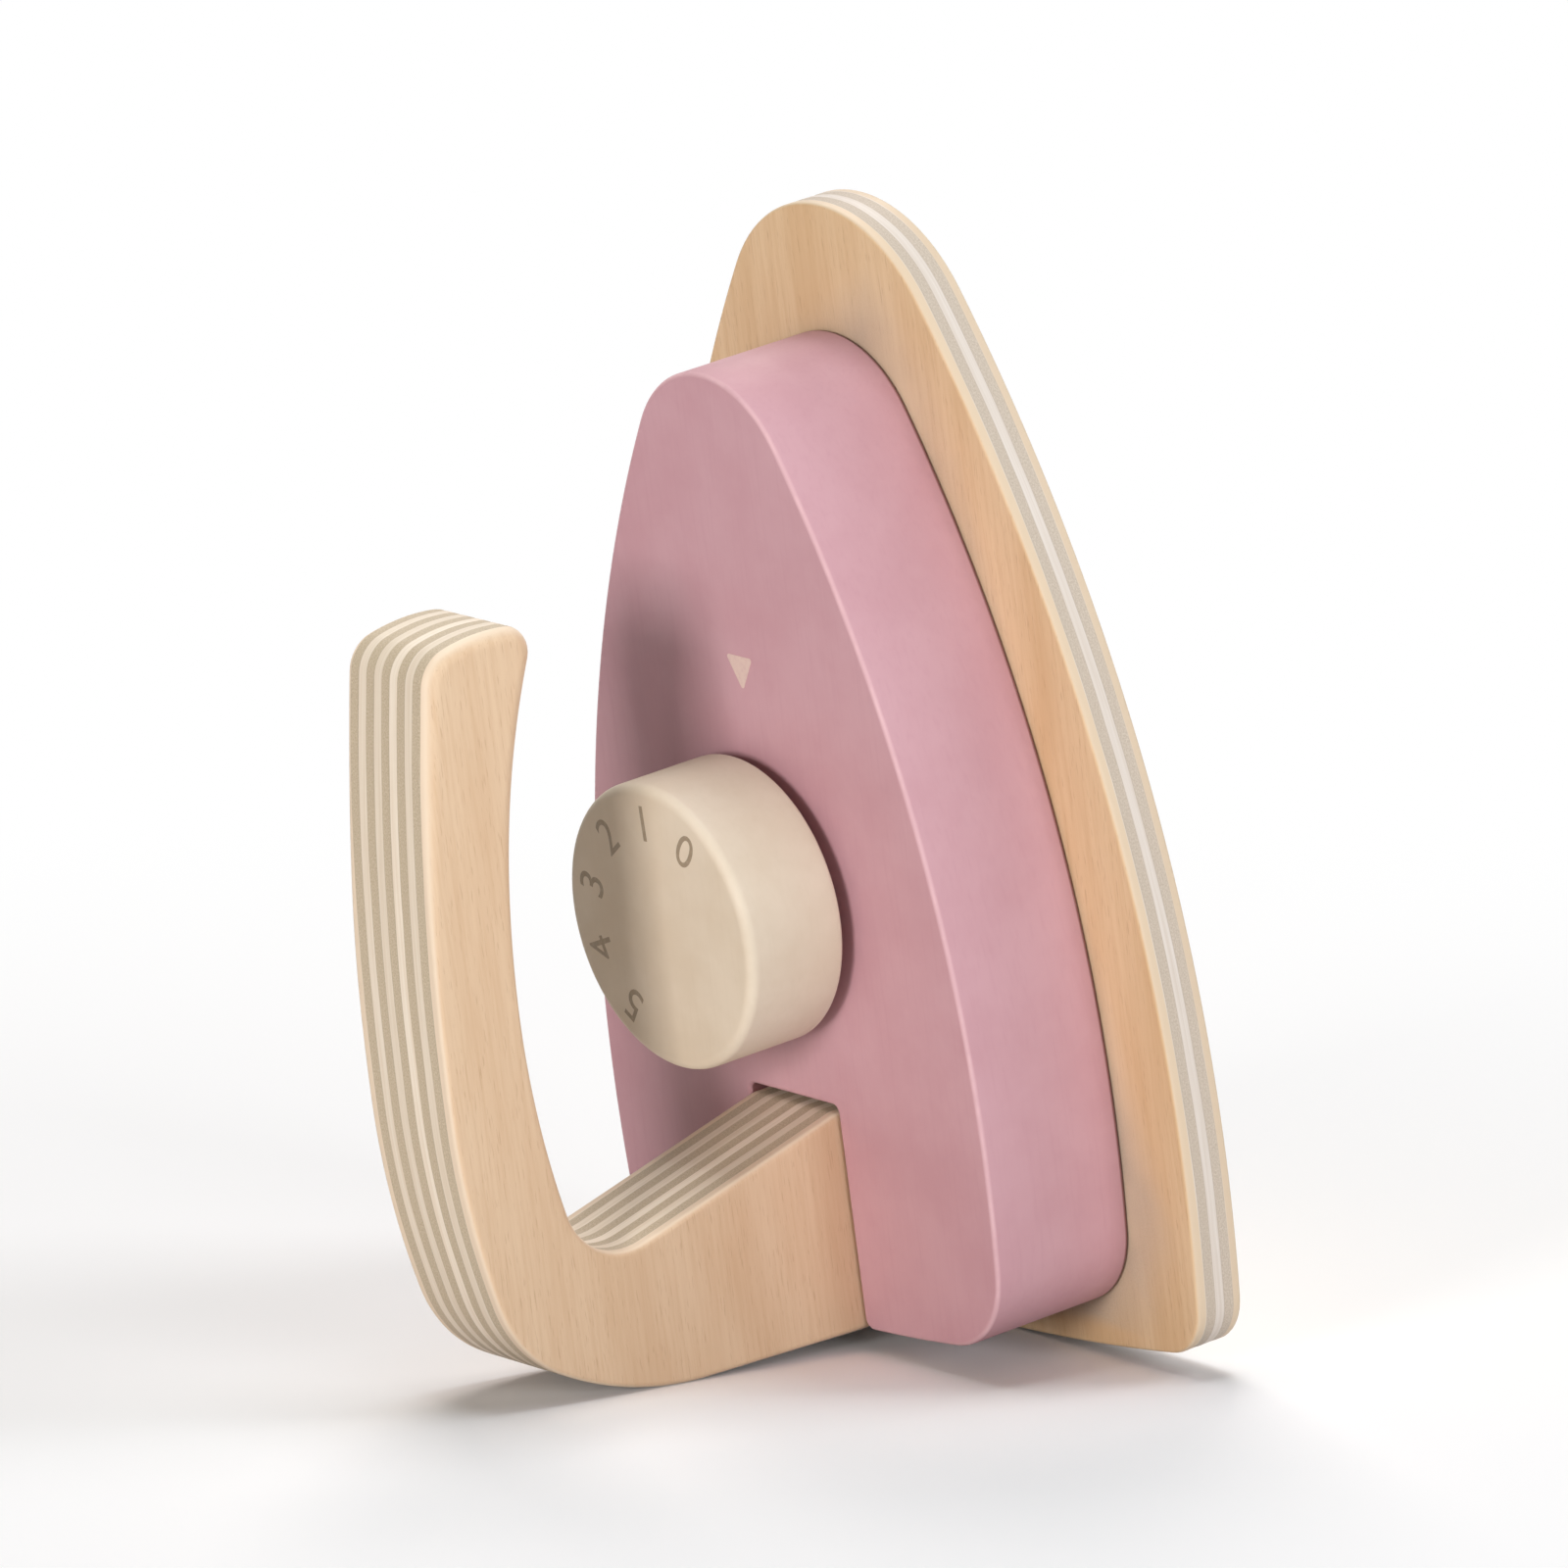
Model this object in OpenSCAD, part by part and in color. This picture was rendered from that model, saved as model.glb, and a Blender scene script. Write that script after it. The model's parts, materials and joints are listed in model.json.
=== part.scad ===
// Wooden toy iron, standing on its heel as it does on an ironing board.
// Each piece is drawn lying flat, with x from the heel to the tip, y across the width and z up from
// the working face of the sole. The whole is then stood up, tip upwards, with the handle towards -X.

/* [Sole plate] */
// Length from heel to tip
sole_l = 145.5; // [120:0.5:180]
// Greatest width
sole_w = 101.5; // [96:0.5:120]
// Thickness of the plywood
sole_t = 7; // [5.5:0.1:10]
// Radius of the long curved sides
sole_side_r = 200; // [150:1:260]
// Radius of the tip
sole_tip_r = 22; // [14:0.5:28]
// Radius of the slightly bowed heel
sole_heel_r = 350; // [250:5:900]
// Radius of the heel corners
sole_corner_r = 7.5; // [4:0.5:14]

/* [Body block] */
// Length from heel to tip
body_l = 123.5; // [112:0.1:128]
// Greatest width
body_w = 77; // [70:0.2:84]
// Thickness of the block
body_t = 21; // [18:0.2:26]
// Radius of the long curved sides
body_side_r = 176; // [140:1:230]
// Radius of the tip
body_tip_r = 16; // [9:0.5:20]
// Radius of the slightly bowed heel
body_heel_r = 280; // [200:10:900]
// Radius of the heel corners
body_corner_r = 12; // [6:0.5:15]
// Distance that the block stands in from the heel of the sole
body_inset = 5.7; // [4:0.1:9]

/* [Handle] */
// Thickness of the handle's plywood
handle_t = 17.4; // [12:0.1:20]
// Height of the back of the grip above the working face
grip_h = 85.4; // [80:0.1:92]
// Thickness of the grip where it is slimmest
grip_t = 12.3; // [9.5:0.1:14]
// Distance from the heel of the sole to the free end of the grip
grip_end = 108.8; // [98:0.1:116]
// Length of the foot that is let into the block
foot_l = 29.1; // [24:0.1:32]
// Angle at which the top of the foot falls away from the block
foot_fall = 13.5; // [9:0.5:16]

/* [Knob] */
// Diameter of the knob
knob_d = 37; // [28:0.2:40]
// Thickness of the knob
knob_t = 14.6; // [13:0.1:18]
// Radius of the knob's front edge
knob_edge_r = 1.4; // [0.4:0.1:3]
// Distance from the heel of the block to the middle of the knob
knob_inset = 56.3; // [53:0.1:64]
// Diameter of the felt washer behind the knob
felt_d = 26; // [20:0.5:30]
// Thickness of the felt washer
felt_t = 2; // [1:0.1:2.6]

/* [Axle and screw] */
// Diameter of the wooden axle
axle_d = 8; // [6:0.1:10]
// Depth of the axle's seat in the knob
axle_seat = 10; // [7:0.5:12]
// Diameter of the steel washer
washer_d = 16; // [13:0.5:18]
// Thickness of the steel washer
washer_t = 1; // [0.8:0.1:1.6]
// Diameter of the screw's shank
screw_d = 3.5; // [3:0.1:4]
// Length of the screw under its head
screw_l = 16; // [12:0.5:20]
// Diameter of the screw's head
screw_head_d = 7; // [6:0.1:9]
// Height of the screw's head
screw_head_t = 2.4; // [2:0.1:3]

/* [Dowels] */
// Diameter of the dowels
dowel_d = 6; // [5:0.1:8]
// Depth of a dowel in the sole
dowel_in_sole = 4; // [3:0.1:4.6]
// Depth of a dowel in the block
dowel_in_body = 10; // [7:0.5:14]
// Depth of a dowel in the handle's foot
dowel_in_foot = 14; // [9:0.5:18]
// Distance of the two handle dowels from the foot's lower end
foot_dowel_first = 7; // [5.5:0.5:8]
// Distance between the two handle dowels
foot_dowel_step = 14; // [12:0.5:15]
// Distance of the two rear sole dowels from the heel of the block
rear_dowel_inset = 26; // [20:0.5:34]
// Distance between the two rear sole dowels
rear_dowel_span = 50; // [42:0.5:54]
// Distance of the front sole dowel from the tip of the block
front_dowel_inset = 24; // [18:0.5:30]

/* [Hidden] */
$fn = 64;

// Extra length of a cut where it leaves a solid
overrun = 1;
// Straight steps in each arc of an outline
arc_steps = 18;
// Clearance beside the handle's foot in its slot, and beyond the foot's upper end
slot_side_gap = 0.1;
slot_end_gap = 0.6;
// Clearance of the axle in the block's bore, of the washer in its pocket, and the drill over a screw
axle_gap = 0.06;
pocket_gap = 0.8;
screw_gap = 0.25;
// Gap left for the felt washer and for the steel washer to turn
run_gap = 0.3;
// Space under the screw's head inside the pocket
head_gap = 1;
// Depth, width and span of the cross recess in the screw's head, and the length of the screw's point
recess_depth = 1.4;
recess_w = 0.9;
recess_span = 4;
point_l = 2.6;
// Chamfer on the ends of the dowels and of the axle
dowel_chamfer = 0.6;
// Radii of the curves that make the handle's outline
back_r = 300;
back_low_r = 100;
under_r = 45;
bend_r = 18;
palm_r = 115;
crook_r = 9;
end_in_r = 3.5;
end_bow_r = 27;
end_out_r = 5;
// Where the back, the palm side and the sweep under the handle have their middle points
back_mid = 50;
palm_mid = 59.5;
under_start = 50;
// Height of the sweep's lowest point above the foot's lower end
sweep_rise = 1.1;

// Heights of the main faces above the working face
body_top = sole_t + body_t;
felt_low = body_top + run_gap;
knob_back = felt_low + felt_t;
// Places along the length
body_heel = body_inset;
slot_end = body_heel + foot_l;
knob_x = body_heel + knob_inset;
// The pocket under the block holds the washer and the screw's head
pocket_d = washer_d + 2 * pocket_gap;
pocket_h = run_gap + washer_t + screw_head_t + head_gap;
pocket_top = sole_t + pocket_h;
axle_low = pocket_top - run_gap;
washer_low = axle_low - washer_t;
screw_low = washer_low - screw_head_t;
axle_high = knob_back + axle_seat;

// Direction of a point as an angle, and the points of an arc
function angle(v) = atan2(v.y, v.x);
function arc(centre, r, from, to) =
    [for (i = [0 : arc_steps]) let (a = from + (to - from) * i / arc_steps) centre + r * [cos(a), sin(a)]];

// The point that lies ra from a and rb from b, to the right of the way from a to b
function meet(a, ra, b, rb) =
    let (d = norm(b - a), e = (b - a) / d, k = (ra * ra - rb * rb + d * d) / (2 * d))
    a + k * e + sqrt(ra * ra - k * k) * [e.y, -e.x];

// Half of a plate's outline: heel, corner, long side and tip, each arc tangent to the next
function half_plate(heel, l, w, side_r, tip_r, heel_r, corner_r) =
    let (tip = [heel + l - tip_r, 0],
         side = [tip.x - sqrt(pow(side_r - tip_r, 2) - pow(side_r - w / 2, 2)), w / 2 - side_r],
         bow = [heel + heel_r, 0],
         corner = meet(bow, heel_r - corner_r, side, side_r - corner_r))
    concat(arc(bow, heel_r, 180, angle(corner - bow)),
           arc(corner, corner_r, angle(corner - bow), angle(corner - side)),
           arc(side, side_r, angle(corner - side), angle(tip - side)),
           arc(tip, tip_r, angle(tip - side), 0));
function plate_points(half) =
    concat(half, [for (i = [len(half) - 2 : -1 : 1]) [half[i].x, -half[i].y]]);

sole_points = plate_points(half_plate(0, sole_l, sole_w, sole_side_r, sole_tip_r, sole_heel_r, sole_corner_r));
body_points =
    plate_points(half_plate(body_heel, body_l, body_w, body_side_r, body_tip_r, body_heel_r, body_corner_r));

// Centres of the arcs in the handle's outline, as [length, height]
back_c = [back_mid, grip_h - back_r];
back_low_c = [back_mid, grip_h - back_low_r];
under_c = [body_heel + sweep_rise + under_r, under_start];
bend_c = meet(under_c, under_r - bend_r, back_low_c, back_low_r - bend_r);
palm_c = [palm_mid, grip_h - grip_t - palm_r];
foot_top = [slot_end - slot_end_gap, body_top];
foot_normal = [cos(foot_fall), sin(foot_fall)];
foot_way = [-sin(foot_fall), cos(foot_fall)];
crook_from = foot_top + crook_r * foot_normal - palm_c;
crook_run = -crook_from * foot_way
    + sqrt(pow(crook_from * foot_way, 2) + pow(palm_r - crook_r, 2) - crook_from * crook_from);
crook_c = foot_top + crook_r * foot_normal + crook_run * foot_way;
// The free end is bowed, halfway between the back and the palm side, with a round corner at each
end_back = back_c.y + sqrt(pow(back_r, 2) - pow(grip_end - back_c.x, 2));
end_palm = palm_c.y + sqrt(pow(palm_r, 2) - pow(grip_end - palm_c.x, 2));
end_c = [grip_end - end_bow_r, (end_back + end_palm) / 2];
end_in_c = meet(palm_c, palm_r + end_in_r, end_c, end_bow_r - end_in_r);
end_out_c = meet(back_c, back_r - end_out_r, end_c, end_bow_r - end_out_r);
// The sweep ends where it is tangent to a line from the foot's lower corner at the block's face
foot_low = [body_heel, body_top];
sweep_stop = 360 + angle(foot_low - under_c) - acos(under_r / norm(foot_low - under_c));

// The foot, the crook, the palm side, the free end, the back and the sweep underneath
handle_points = concat(
    [[body_heel, sole_t], [foot_top.x, sole_t], foot_top],
    arc(crook_c, crook_r, 180 + foot_fall, angle(crook_c - palm_c)),
    arc(palm_c, palm_r, angle(crook_c - palm_c), angle(end_in_c - palm_c)),
    arc(end_in_c, end_in_r, angle(palm_c - end_in_c), angle(end_in_c - end_c)),
    arc(end_c, end_bow_r, angle(end_in_c - end_c), angle(end_out_c - end_c)),
    arc(end_out_c, end_out_r, angle(end_out_c - end_c), angle(end_out_c - back_c)),
    arc(back_c, back_r, angle(end_out_c - back_c), 90),
    arc(back_low_c, back_low_r, 90, angle(bend_c - back_low_c)),
    arc(bend_c, bend_r, angle(bend_c - back_low_c), angle(bend_c - under_c)),
    arc(under_c, under_r, angle(bend_c - under_c), sweep_stop),
    [foot_low]);

// The lean comes from the two contacts: the heel edge of the sole and the sweep under the handle
heel_edge = [0, sole_t];
lean = 90 - angle(under_c - heel_edge) - asin(under_r / norm(under_c - heel_edge));
reach = max([for (p = handle_points) p.x * sin(lean) + p.y * cos(lean)]);

// Stands the iron up, leaning on its handle, with its box centred on the origin
module stood() {
    translate([reach / 2, 0, sole_t * sin(lean)]) rotate([0, -90 - lean, 0]) children();
}

// Places the children at the knob's middle, at a height above the working face
module at_knob(h) {
    translate([knob_x, 0, h]) children();
}

module handle_dowel_places() {
    for (i = [0, 1]) translate([body_heel + foot_dowel_first + i * foot_dowel_step, 0, 0]) children();
}

module sole_dowel_places() {
    for (side = [-1, 1]) translate([body_heel + rear_dowel_inset, side * rear_dowel_span / 2, 0]) children();
    translate([body_heel + body_l - front_dowel_inset, 0, 0]) children();
}

// A dowel from its depth in the sole up to its depth in the piece above
module dowel(up) {
    translate([0, 0, sole_t - dowel_in_sole]) chamfered_rod(dowel_d, dowel_in_sole + up, dowel_chamfer);
}

module chamfered_rod(d, l, chamfer) {
    rotate_extrude()
        polygon([[0, 0], [d / 2 - chamfer, 0], [d / 2, chamfer], [d / 2, l - chamfer], [d / 2 - chamfer, l], [0, l]]);
}

module sole_plate() {
    color("burlywood") stood() difference() {
        linear_extrude(sole_t) polygon(sole_points);
        handle_dowel_places() translate([0, 0, sole_t - dowel_in_sole]) cylinder(d = dowel_d, h = dowel_in_sole + overrun);
        sole_dowel_places() translate([0, 0, sole_t - dowel_in_sole]) cylinder(d = dowel_d, h = dowel_in_sole + overrun);
    }
}

module body_block() {
    slot_w = handle_t + 2 * slot_side_gap;
    color("rosybrown") stood() difference() {
        translate([0, 0, sole_t]) linear_extrude(body_t) polygon(body_points);
        translate([body_heel - overrun, -slot_w / 2, sole_t - overrun])
            cube([foot_l + overrun, slot_w, body_t + 2 * overrun]);
        at_knob(sole_t - overrun) cylinder(d = axle_d + 2 * axle_gap, h = body_t + 2 * overrun);
        at_knob(sole_t - overrun) cylinder(d = pocket_d, h = pocket_h + overrun);
        sole_dowel_places() translate([0, 0, sole_t - overrun]) cylinder(d = dowel_d, h = dowel_in_body + overrun);
    }
}

module handle() {
    color("wheat") stood() difference() {
        rotate([90, 0, 0]) linear_extrude(handle_t, center = true) polygon(handle_points);
        handle_dowel_places() translate([0, 0, sole_t - overrun]) cylinder(d = dowel_d, h = dowel_in_foot + overrun);
    }
}

module knob() {
    r = knob_d / 2;
    color("antiquewhite") stood() at_knob(knob_back) difference() {
        rotate_extrude() union() {
            square([r, knob_t - knob_edge_r]);
            square([r - knob_edge_r, knob_t]);
            translate([r - knob_edge_r, knob_t - knob_edge_r]) circle(knob_edge_r);
        }
        translate([0, 0, -overrun]) cylinder(d = axle_d, h = axle_seat + overrun);
    }
}

module felt_washer() {
    color("dimgray") stood() at_knob(felt_low) difference() {
        cylinder(d = felt_d, h = felt_t);
        translate([0, 0, -overrun]) cylinder(d = axle_d, h = felt_t + 2 * overrun);
    }
}

module knob_axle() {
    color("tan") stood() at_knob(axle_low) difference() {
        chamfered_rod(axle_d, axle_high - axle_low, dowel_chamfer);
        translate([0, 0, -overrun]) cylinder(d = screw_d, h = screw_l - washer_t + overrun);
    }
}

module retaining_washer() {
    color("silver") stood() at_knob(washer_low) difference() {
        cylinder(d = washer_d, h = washer_t);
        translate([0, 0, -overrun]) cylinder(d = screw_d + 2 * screw_gap, h = washer_t + 2 * overrun);
    }
}

module retaining_screw() {
    color("gainsboro") stood() at_knob(screw_low) difference() {
        union() {
            cylinder(d = screw_head_d, h = screw_head_t);
            cylinder(d = screw_d, h = screw_head_t + screw_l - point_l);
            translate([0, 0, screw_head_t + screw_l - point_l]) cylinder(d1 = screw_d, d2 = 0, h = point_l);
        }
        for (turn = [0, 90]) rotate(turn)
            translate([-recess_span / 2, -recess_w / 2, -overrun]) cube([recess_span, recess_w, recess_depth + overrun]);
    }
}

module handle_dowels() {
    color("tan") stood() handle_dowel_places() dowel(dowel_in_foot);
}

module sole_dowels() {
    color("tan") stood() sole_dowel_places() dowel(dowel_in_body);
}

sole_plate();
body_block();
handle();
knob();
felt_washer();
knob_axle();
retaining_washer();
retaining_screw();
handle_dowels();
sole_dowels();
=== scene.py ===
# Wooden toy iron, standing on its heel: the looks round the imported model
import json
import bmesh
import bpy
import numpy as np
from mathutils import Matrix, Vector


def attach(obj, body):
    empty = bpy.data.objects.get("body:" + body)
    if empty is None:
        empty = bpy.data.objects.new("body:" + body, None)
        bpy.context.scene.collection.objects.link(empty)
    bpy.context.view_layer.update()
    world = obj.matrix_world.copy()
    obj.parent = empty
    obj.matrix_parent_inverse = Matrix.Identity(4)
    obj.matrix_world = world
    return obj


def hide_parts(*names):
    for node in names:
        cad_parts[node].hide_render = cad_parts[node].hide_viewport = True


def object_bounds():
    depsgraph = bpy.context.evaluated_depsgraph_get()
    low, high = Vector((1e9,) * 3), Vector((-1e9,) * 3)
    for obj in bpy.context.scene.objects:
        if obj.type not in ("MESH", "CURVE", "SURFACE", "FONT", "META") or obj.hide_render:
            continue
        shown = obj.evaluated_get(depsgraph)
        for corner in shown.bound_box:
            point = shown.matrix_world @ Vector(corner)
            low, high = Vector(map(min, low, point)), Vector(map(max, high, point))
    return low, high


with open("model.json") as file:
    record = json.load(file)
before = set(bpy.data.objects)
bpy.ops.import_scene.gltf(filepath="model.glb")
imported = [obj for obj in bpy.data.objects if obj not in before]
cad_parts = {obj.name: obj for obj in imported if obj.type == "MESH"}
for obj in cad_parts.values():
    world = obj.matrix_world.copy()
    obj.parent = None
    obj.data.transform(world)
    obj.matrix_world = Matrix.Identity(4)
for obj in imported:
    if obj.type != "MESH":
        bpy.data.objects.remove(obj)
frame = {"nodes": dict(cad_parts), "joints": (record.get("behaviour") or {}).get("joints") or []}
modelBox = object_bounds()
print("frame loaded:", ", ".join(sorted(frame["nodes"])))

mm = 0.001
knobTurn = frame["joints"][0]
leanCos, leanSin = -knobTurn["axis"][0], -knobTurn["axis"][2]  # the dial's axis is square to the sole
reach = (modelBox[1][0] - modelBox[0][0]) / mm  # how deep the standing iron is

# How finely shapes are cut up: points of a curve, rows of a wall, or the longest step in millimetres
fineness = {
    "arcStep": 0.9, "straightStep": 1.2, "fewestInArc": 8, "edge": 7, "rowsOfPly": 7, "fewestRows": 6,
    "drill": 64, "ring": 96, "ringCorner": 5, "knob": 160, "knobEdge": 9, "screw": 48, "screwRows": 190,
    "screwHead": 9, "ofFlute": 10, "floor": 128,
}
sharpAngle = 35.0  # edges that turn by more stay sharp

# Sizes in millimetres, with u from the heel to the tip, y across and w up from the sole's working face
sole = {
    "length": 145.5, "width": 101.5, "thickness": 7.0, "sideRadius": 200.0, "tipRadius": 22.0,
    "heelRadius": 350.0, "cornerRadius": 7.5, "edge": 0.5, "plies": 5, "crossSink": 0.03,
}
soleTop = sole["thickness"]
block = {
    "inset": 5.7, "length": 123.5, "width": 77.0, "thickness": 21.0, "sideRadius": 176.0, "tipRadius": 16.0,
    "heelRadius": 280.0, "cornerRadius": 12.0, "frontEdge": 0.6, "backEdge": 0.7,
    "slotLength": 29.1, "slotRelief": 0.45, "slotGap": 0.25, "slotMouth": 1.5, "slotCorner": 1.0,
    "pocketRadius": 8.8, "pocketDepth": 4.7, "boreRadius": 4.06, "dowelDepth": 10.0, "jointShadeShare": 0.8,
}
blockTop = soleTop + block["thickness"]
overrun = 1.0  # how far a cutter reaches past what it cuts


def stand(u, y, w):
    # a point of the iron lying flat is tipped up by the lean and set over the middle of the box, in metres
    x = reach / 2 - w * leanCos - u * leanSin
    z = u * leanCos + (soleTop - w) * leanSin
    return np.stack(np.broadcast_arrays(x, y, z), -1) * mm


def heading(way):
    return float(np.degrees(np.arctan2(way[1], way[0])))


def arcRun(centre, radius, start, end):
    # centre plus radius times (cos, sin) from the start angle to the end angle, with outward normals;
    # where the run turns clockwise the wood lies outside the circle, so the normals point at the centre
    steps = max(fineness["fewestInArc"], int(abs(np.radians(end - start)) * radius / fineness["arcStep"]))
    angle = np.radians(np.linspace(start, end, steps + 1))
    spoke = np.column_stack((np.cos(angle), np.sin(angle)))
    return np.asarray(centre) + radius * spoke, spoke * np.sign(end - start)


def meet(a, reachA, b, reachB):
    # the point reachA from a and reachB from b, on the right of the way from a to b
    a, way = np.asarray(a, float), np.subtract(b, a)
    distance = np.hypot(*way)
    way = way / distance
    along = (reachA ** 2 - reachB ** 2 + distance ** 2) / (2 * distance)
    return a + along * way + np.sqrt(reachA ** 2 - along ** 2) * np.array([way[1], -way[0]])


def closeRuns(runs):
    # the runs end to end as one closed outline; straight stretches between them get points in step, by length
    samePlace, spacing = 1e-4, fineness["straightStep"]
    points = np.concatenate([run[0] for run in runs])
    normals = np.concatenate([run[1] for run in runs])
    keep = np.hypot(*(points - np.roll(points, 1, axis=0)).T) > samePlace
    points, normals = points[keep], normals[keep]
    closed = np.vstack((points, points[:1]))
    gap = np.hypot(*np.diff(closed, axis=0).T)
    length = np.concatenate(([0], np.cumsum(gap)))
    wide = np.flatnonzero(gap > 2 * spacing)
    extra = [np.linspace(length[i], length[i + 1], int(gap[i] / spacing) + 2)[1:-1] for i in wide]
    stops = np.sort(np.concatenate([length[:-1]] + extra))
    both = np.hstack((closed, np.vstack((normals, normals[:1]))))
    fine = np.column_stack([np.interp(stops, length, column) for column in both.T])
    fine[:, 2:] /= np.hypot(fine[:, 2], fine[:, 3])[:, None]
    return fine[:, :2], fine[:, 2:]


def mirrored(runs):
    # the same runs on the other side of y = 0, walked the other way
    flip = np.array([1, -1])
    return [(points[::-1] * flip, normals[::-1] * flip) for points, normals in reversed(runs)]


def plateOutline(plate, heel, extraRuns=None, heelStop=180.0):
    # tip, long side, corner and bowed heel, each arc tangent to the next, then the mirror image
    tip = np.array([heel + plate["length"] - plate["tipRadius"], 0.0])
    sideReach, tipReach = plate["sideRadius"] - plate["width"] / 2, plate["sideRadius"] - plate["tipRadius"]
    side = np.array([tip[0] - np.sqrt(tipReach ** 2 - sideReach ** 2), -sideReach])
    bow = np.array([heel + plate["heelRadius"], 0.0])
    corner = meet(bow, plate["heelRadius"] - plate["cornerRadius"],
                  side, plate["sideRadius"] - plate["cornerRadius"])
    half = [
        arcRun(tip, plate["tipRadius"], 0, heading(tip - side)),
        arcRun(side, plate["sideRadius"], heading(tip - side), heading(corner - side)),
        arcRun(corner, plate["cornerRadius"], heading(corner - side), heading(corner - bow)),
        arcRun(bow, plate["heelRadius"], heading(corner - bow), heelStop),
    ] + (extraRuns or [])
    return closeRuns(half + mirrored(half))


def edgeProfile(thickness, lowEdge, highEdge, layers=0, sink=0.0):
    # (inset, height, flatness, rim) up a wall between two quarter-round edges, with a flat lip beyond each;
    # every second layer of the wall is sunk by a steepened and clipped sine of its height
    lip, steepness = 0.3, 4.0
    turn = np.radians(np.linspace(0, 90, fineness["edge"]))
    sine, cosine, rim = np.sin(turn), np.cos(turn), np.sin(2 * turn)
    low = np.column_stack((lowEdge * (1 - sine), lowEdge * (1 - cosine), cosine, rim))
    high = np.column_stack((highEdge * (1 - cosine), thickness - highEdge * (1 - sine), sine, rim))
    rows = max(fineness["fewestRows"], layers * fineness["rowsOfPly"])
    height = np.linspace(lowEdge, thickness - highEdge, rows)[1:-1]
    wave = np.clip(-steepness * np.sin(np.pi * height * max(layers, 1) / thickness), 0, 1)
    plain = np.zeros(len(height))
    wall = np.column_stack((sink * wave, height, plain, plain))
    return np.vstack(([lowEdge + lip, 0, 1, 0], low, wall, high, [highEdge + lip, thickness, 1, 0]))


def slab(outline, profile):
    # the profile, one for all or one for each point, is carried round the outline: a point moves against its
    # normal by the inset and up by the height; the first and last rings close the two flat faces
    points, normals = outline
    count, rows = len(points), np.shape(profile)[-2]
    profile = np.broadcast_to(profile, (count, rows, 4))
    inset, height = profile[:, :, 0], profile[:, :, 1]
    ring = points[:, None, :] - normals[:, None, :] * inset[:, :, None]
    grid = np.dstack((ring, height)).reshape(-1, 3)
    index = np.arange(count * rows).reshape(count, rows)
    after = np.roll(index, -1, axis=0)
    sides = np.stack((index[:, :-1], after[:, :-1], after[:, 1:], index[:, 1:]), -1).reshape(-1, 4)
    faces = [sides, index[::-1, :1].T, index[:, -1:].T]
    step = np.hypot(*(np.roll(points, -1, axis=0) - points).T)
    along = np.concatenate(([0], np.cumsum(step)))
    across = np.concatenate(([0], np.cumsum(np.hypot(np.diff(inset[0]), np.diff(height[0])))))
    start = np.meshgrid(along[:-1], across[:-1], indexing="ij")
    end = np.meshgrid(along[1:], across[1:], indexing="ij")
    sideUv = np.stack((start[0], start[1], end[0], start[1], end[0], end[1], start[0], end[1]), -1)
    sideUv = sideUv.reshape(-1, 2)
    uv = np.concatenate((sideUv, grid[faces[1].ravel(), :2], grid[faces[2].ravel(), :2])) * mm
    marks = {"flatness": profile[:, :, 2].ravel(), "rim": profile[:, :, 3].ravel()}
    return grid, faces, uv, marks


def turned(radii, heights, count, ring=False):
    # the profile's radii and heights turned about the height axis; radii may differ from angle to angle; an
    # open profile starts and ends on the axis, in a point with a fan of triangles; a ring closes on itself
    angle = np.linspace(0, 2 * np.pi, count, endpoint=False)
    radii, heights = np.broadcast_arrays(np.atleast_2d(radii), np.atleast_2d(heights))
    if len(radii) == 1:
        radii, heights = np.repeat(radii, count, axis=0), np.repeat(heights, count, axis=0)
    grid = np.dstack((radii * np.cos(angle)[:, None], radii * np.sin(angle)[:, None], heights))
    if ring:
        index = np.arange(grid.shape[0] * grid.shape[1]).reshape(grid.shape[:2])
        after, over = np.roll(index, -1, axis=0), np.roll(index, -1, axis=1)
        quads = np.stack((index, after, np.roll(after, -1, axis=1), over), -1).reshape(-1, 4)
        return grid.reshape(-1, 3), [quads]
    inner = grid[:, 1:-1]
    index = np.arange(inner.shape[0] * inner.shape[1]).reshape(inner.shape[:2])
    after = np.roll(index, -1, axis=0)
    quads = np.stack((index[:, :-1], after[:, :-1], after[:, 1:], index[:, 1:]), -1).reshape(-1, 4)
    low, high = index.size, index.size + 1
    firstFan = np.column_stack((np.full(count, low), after[:, 0], index[:, 0]))
    lastFan = np.column_stack((index[:, -1], after[:, -1], np.full(count, high)))
    points = np.concatenate((inner.reshape(-1, 3), grid[0, :1], grid[0, -1:]))
    return points, [quads, firstFan, lastFan]


def linked(name, data):
    # an object that holds the data, in the scene
    holder = bpy.data.objects.new(name, data)
    bpy.context.scene.collection.objects.link(holder)
    return holder


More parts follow.
